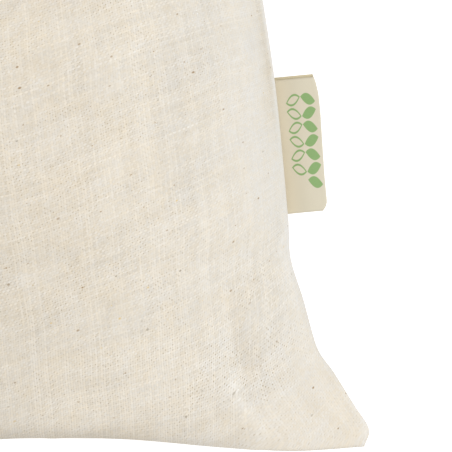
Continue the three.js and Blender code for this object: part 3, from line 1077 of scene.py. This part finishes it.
def label_row(place, out):
    """One row of the folded ribbon, out along its front, round the fold and back, and its marks."""
    half = LABEL["layer"] / 2 + LABEL["slack"] / 2
    outs = np.linspace(-LABEL["caught"], out - half, LABEL_STEPS["flat"])
    uneven = LABEL_BULGE["even"] + LABEL_BULGE["uneven"] * math.sin(place / LABEL_BULGE["length"])
    bulge = LABEL_BULGE["height"] * np.sin(np.pi * np.clip(outs / out, 0, 1)) * uneven
    front_z = half + bulge + label_curl(outs)
    back_z = -half + LABEL_BULGE["back"] * bulge + label_curl(outs)
    angles = np.linspace(np.pi / 2, -np.pi / 2, LABEL_STEPS["turn"] + 2)[1:-1]
    turn_x = out - half + half * np.cos(angles)
    turn_z = half * np.sin(angles) + label_curl(turn_x)
    x = np.concatenate((outs, turn_x, outs[::-1]))
    z = np.concatenate((front_z, turn_z, back_z[::-1]))
    back = np.concatenate((np.zeros_like(outs), np.linspace(0, 1, LABEL_STEPS["turn"]), np.ones_like(outs)))
    y = place - LABEL["width"] / 2 + LABEL["shift"] * smooth(0, 1, back)
    marks = np.stack((np.maximum(x, 0), np.full_like(x, place), back), axis=-1)
    return np.stack((x, y, z), axis=-1), marks


def side_label(material):
    """A ribbon folded over once and caught in the right seam, with its back layer a little higher."""
    along = np.linspace(0, LABEL["width"], LABEL_STEPS["along"])
    reach = np.interp(along, LABEL_REACH[:, 0], LABEL_REACH[:, 1])
    for _ in range(LABEL_REACH_SMOOTHINGS):
        reach[1:-1] = (reach[:-2] + 2 * reach[1:-1] + reach[2:]) / 4
    rows = [label_row(place, out) for place, out in zip(along, reach)]
    local = np.array([row for row, _ in rows])
    marks = np.array([mark for _, mark in rows])
    normal = normals_of(local) * (LABEL["layer"] / 2)
    points = sheet_points(local + normal, local - normal)

    lean = math.radians(LABEL["lean"])
    sides = SECTIONS[:, SECTION_COLUMNS.index("side")]
    station = np.interp(LABEL["along"], sides, np.arange(len(SECTIONS)))
    section = sections_at(np.array([station]))
    x = points[:, 0] * math.cos(lean) - points[:, 1] * math.sin(lean) + float(section["half"][0, 0])
    y = points[:, 0] * math.sin(lean) + points[:, 1] * math.cos(lean) + LABEL["along"]
    z = points[:, 2] + float(section["seam"][0, 0])
    placed = np.stack((x, y, z), axis=-1)
    ribbon = sheet_points(marks, marks)
    faces = sheet_faces(len(along), local.shape[1])
    return add_piece("folded_label", placed, faces, material, "side_label", {"ribbon": ribbon})


cotton = cotton_paint()
string = string_paint()
front = cloth_panel("front_cloth", "front_panel", True, FRONT_SEED, cotton)
back = cloth_panel("back_cloth", "back_panel", False, BACK_SEED, cotton)
label = side_label(ribbon_paint())
cord = drawstring(string)
hem_stitches = stitches((front, back), string)

# A plain pale floor and soft studio light
FLOOR_HALF = 3.0
FLOOR_WHITE = (0.72, 0.72, 0.72)
FLOOR_GLOW = 0.56
SKY = (1.0, 0.985, 0.955)
SKY_STRENGTH = 0.957
LIGHTS = {
    "key": {"place": (0.75, 0.0, 1.2), "size": 0.8, "power": 4.7, "colour": (1.0, 1.0, 1.0)},
    "side": {"place": (1.3, 0.1, 0.12), "size": 0.2, "power": 2.4, "colour": (0.45, 0.68, 1.0)},
    "behind": {"place": (-1.0, 0.75, 0.2), "size": 0.5, "power": 2.0, "colour": (1.0, 0.985, 0.955)},
}


def floor():
    """A wide floor with an even glow that lights nothing but itself."""
    mesh = bpy.data.meshes.new("floor")
    corners = [(-1, -1), (1, -1), (1, 1), (-1, 1)]
    mesh.from_pydata([(x * FLOOR_HALF, y * FLOOR_HALF, 0) for x, y in corners], [], [(0, 1, 2, 3)])
    paint = Paint("floor", roughness=1.0, specular=0.0)
    paint.shader.inputs["Base Color"].default_value = (*FLOOR_WHITE, 1)
    paint.shader.inputs["Emission Color"].default_value = (1, 1, 1, 1)
    paint.shader.inputs["Emission Strength"].default_value = FLOOR_GLOW
    mesh.materials.append(paint.material)
    plane = bpy.data.objects.new("floor", mesh)
    scene.collection.objects.link(plane)
    lit = bpy.data.collections.new("lit_by_floor")
    lit.objects.link(plane)
    plane.light_linking.receiver_collection = lit


def lights():
    """An even sky and three soft lights that face the pouch."""
    world = bpy.data.worlds.new("studio")
    world.use_nodes = True
    background = world.node_tree.nodes["Background"]
    background.inputs["Color"].default_value = (*SKY, 1)
    background.inputs["Strength"].default_value = SKY_STRENGTH
    scene.world = world
    for name, light in LIGHTS.items():
        data = bpy.data.lights.new(name, "AREA")
        data.shape = "DISK"
        data.size = light["size"]
        data.energy = light["power"]
        data.color = light["colour"]
        lamp = bpy.data.objects.new(name, data)
        lamp.location = light["place"]
        x, y, z = light["place"]
        lamp.rotation_euler = (math.atan2(math.hypot(x, y), z), 0, math.atan2(x, -y))
        scene.collection.objects.link(lamp)


floor()
lights()
scene.view_settings.view_transform = "Standard"
scene.view_settings.look = "None"
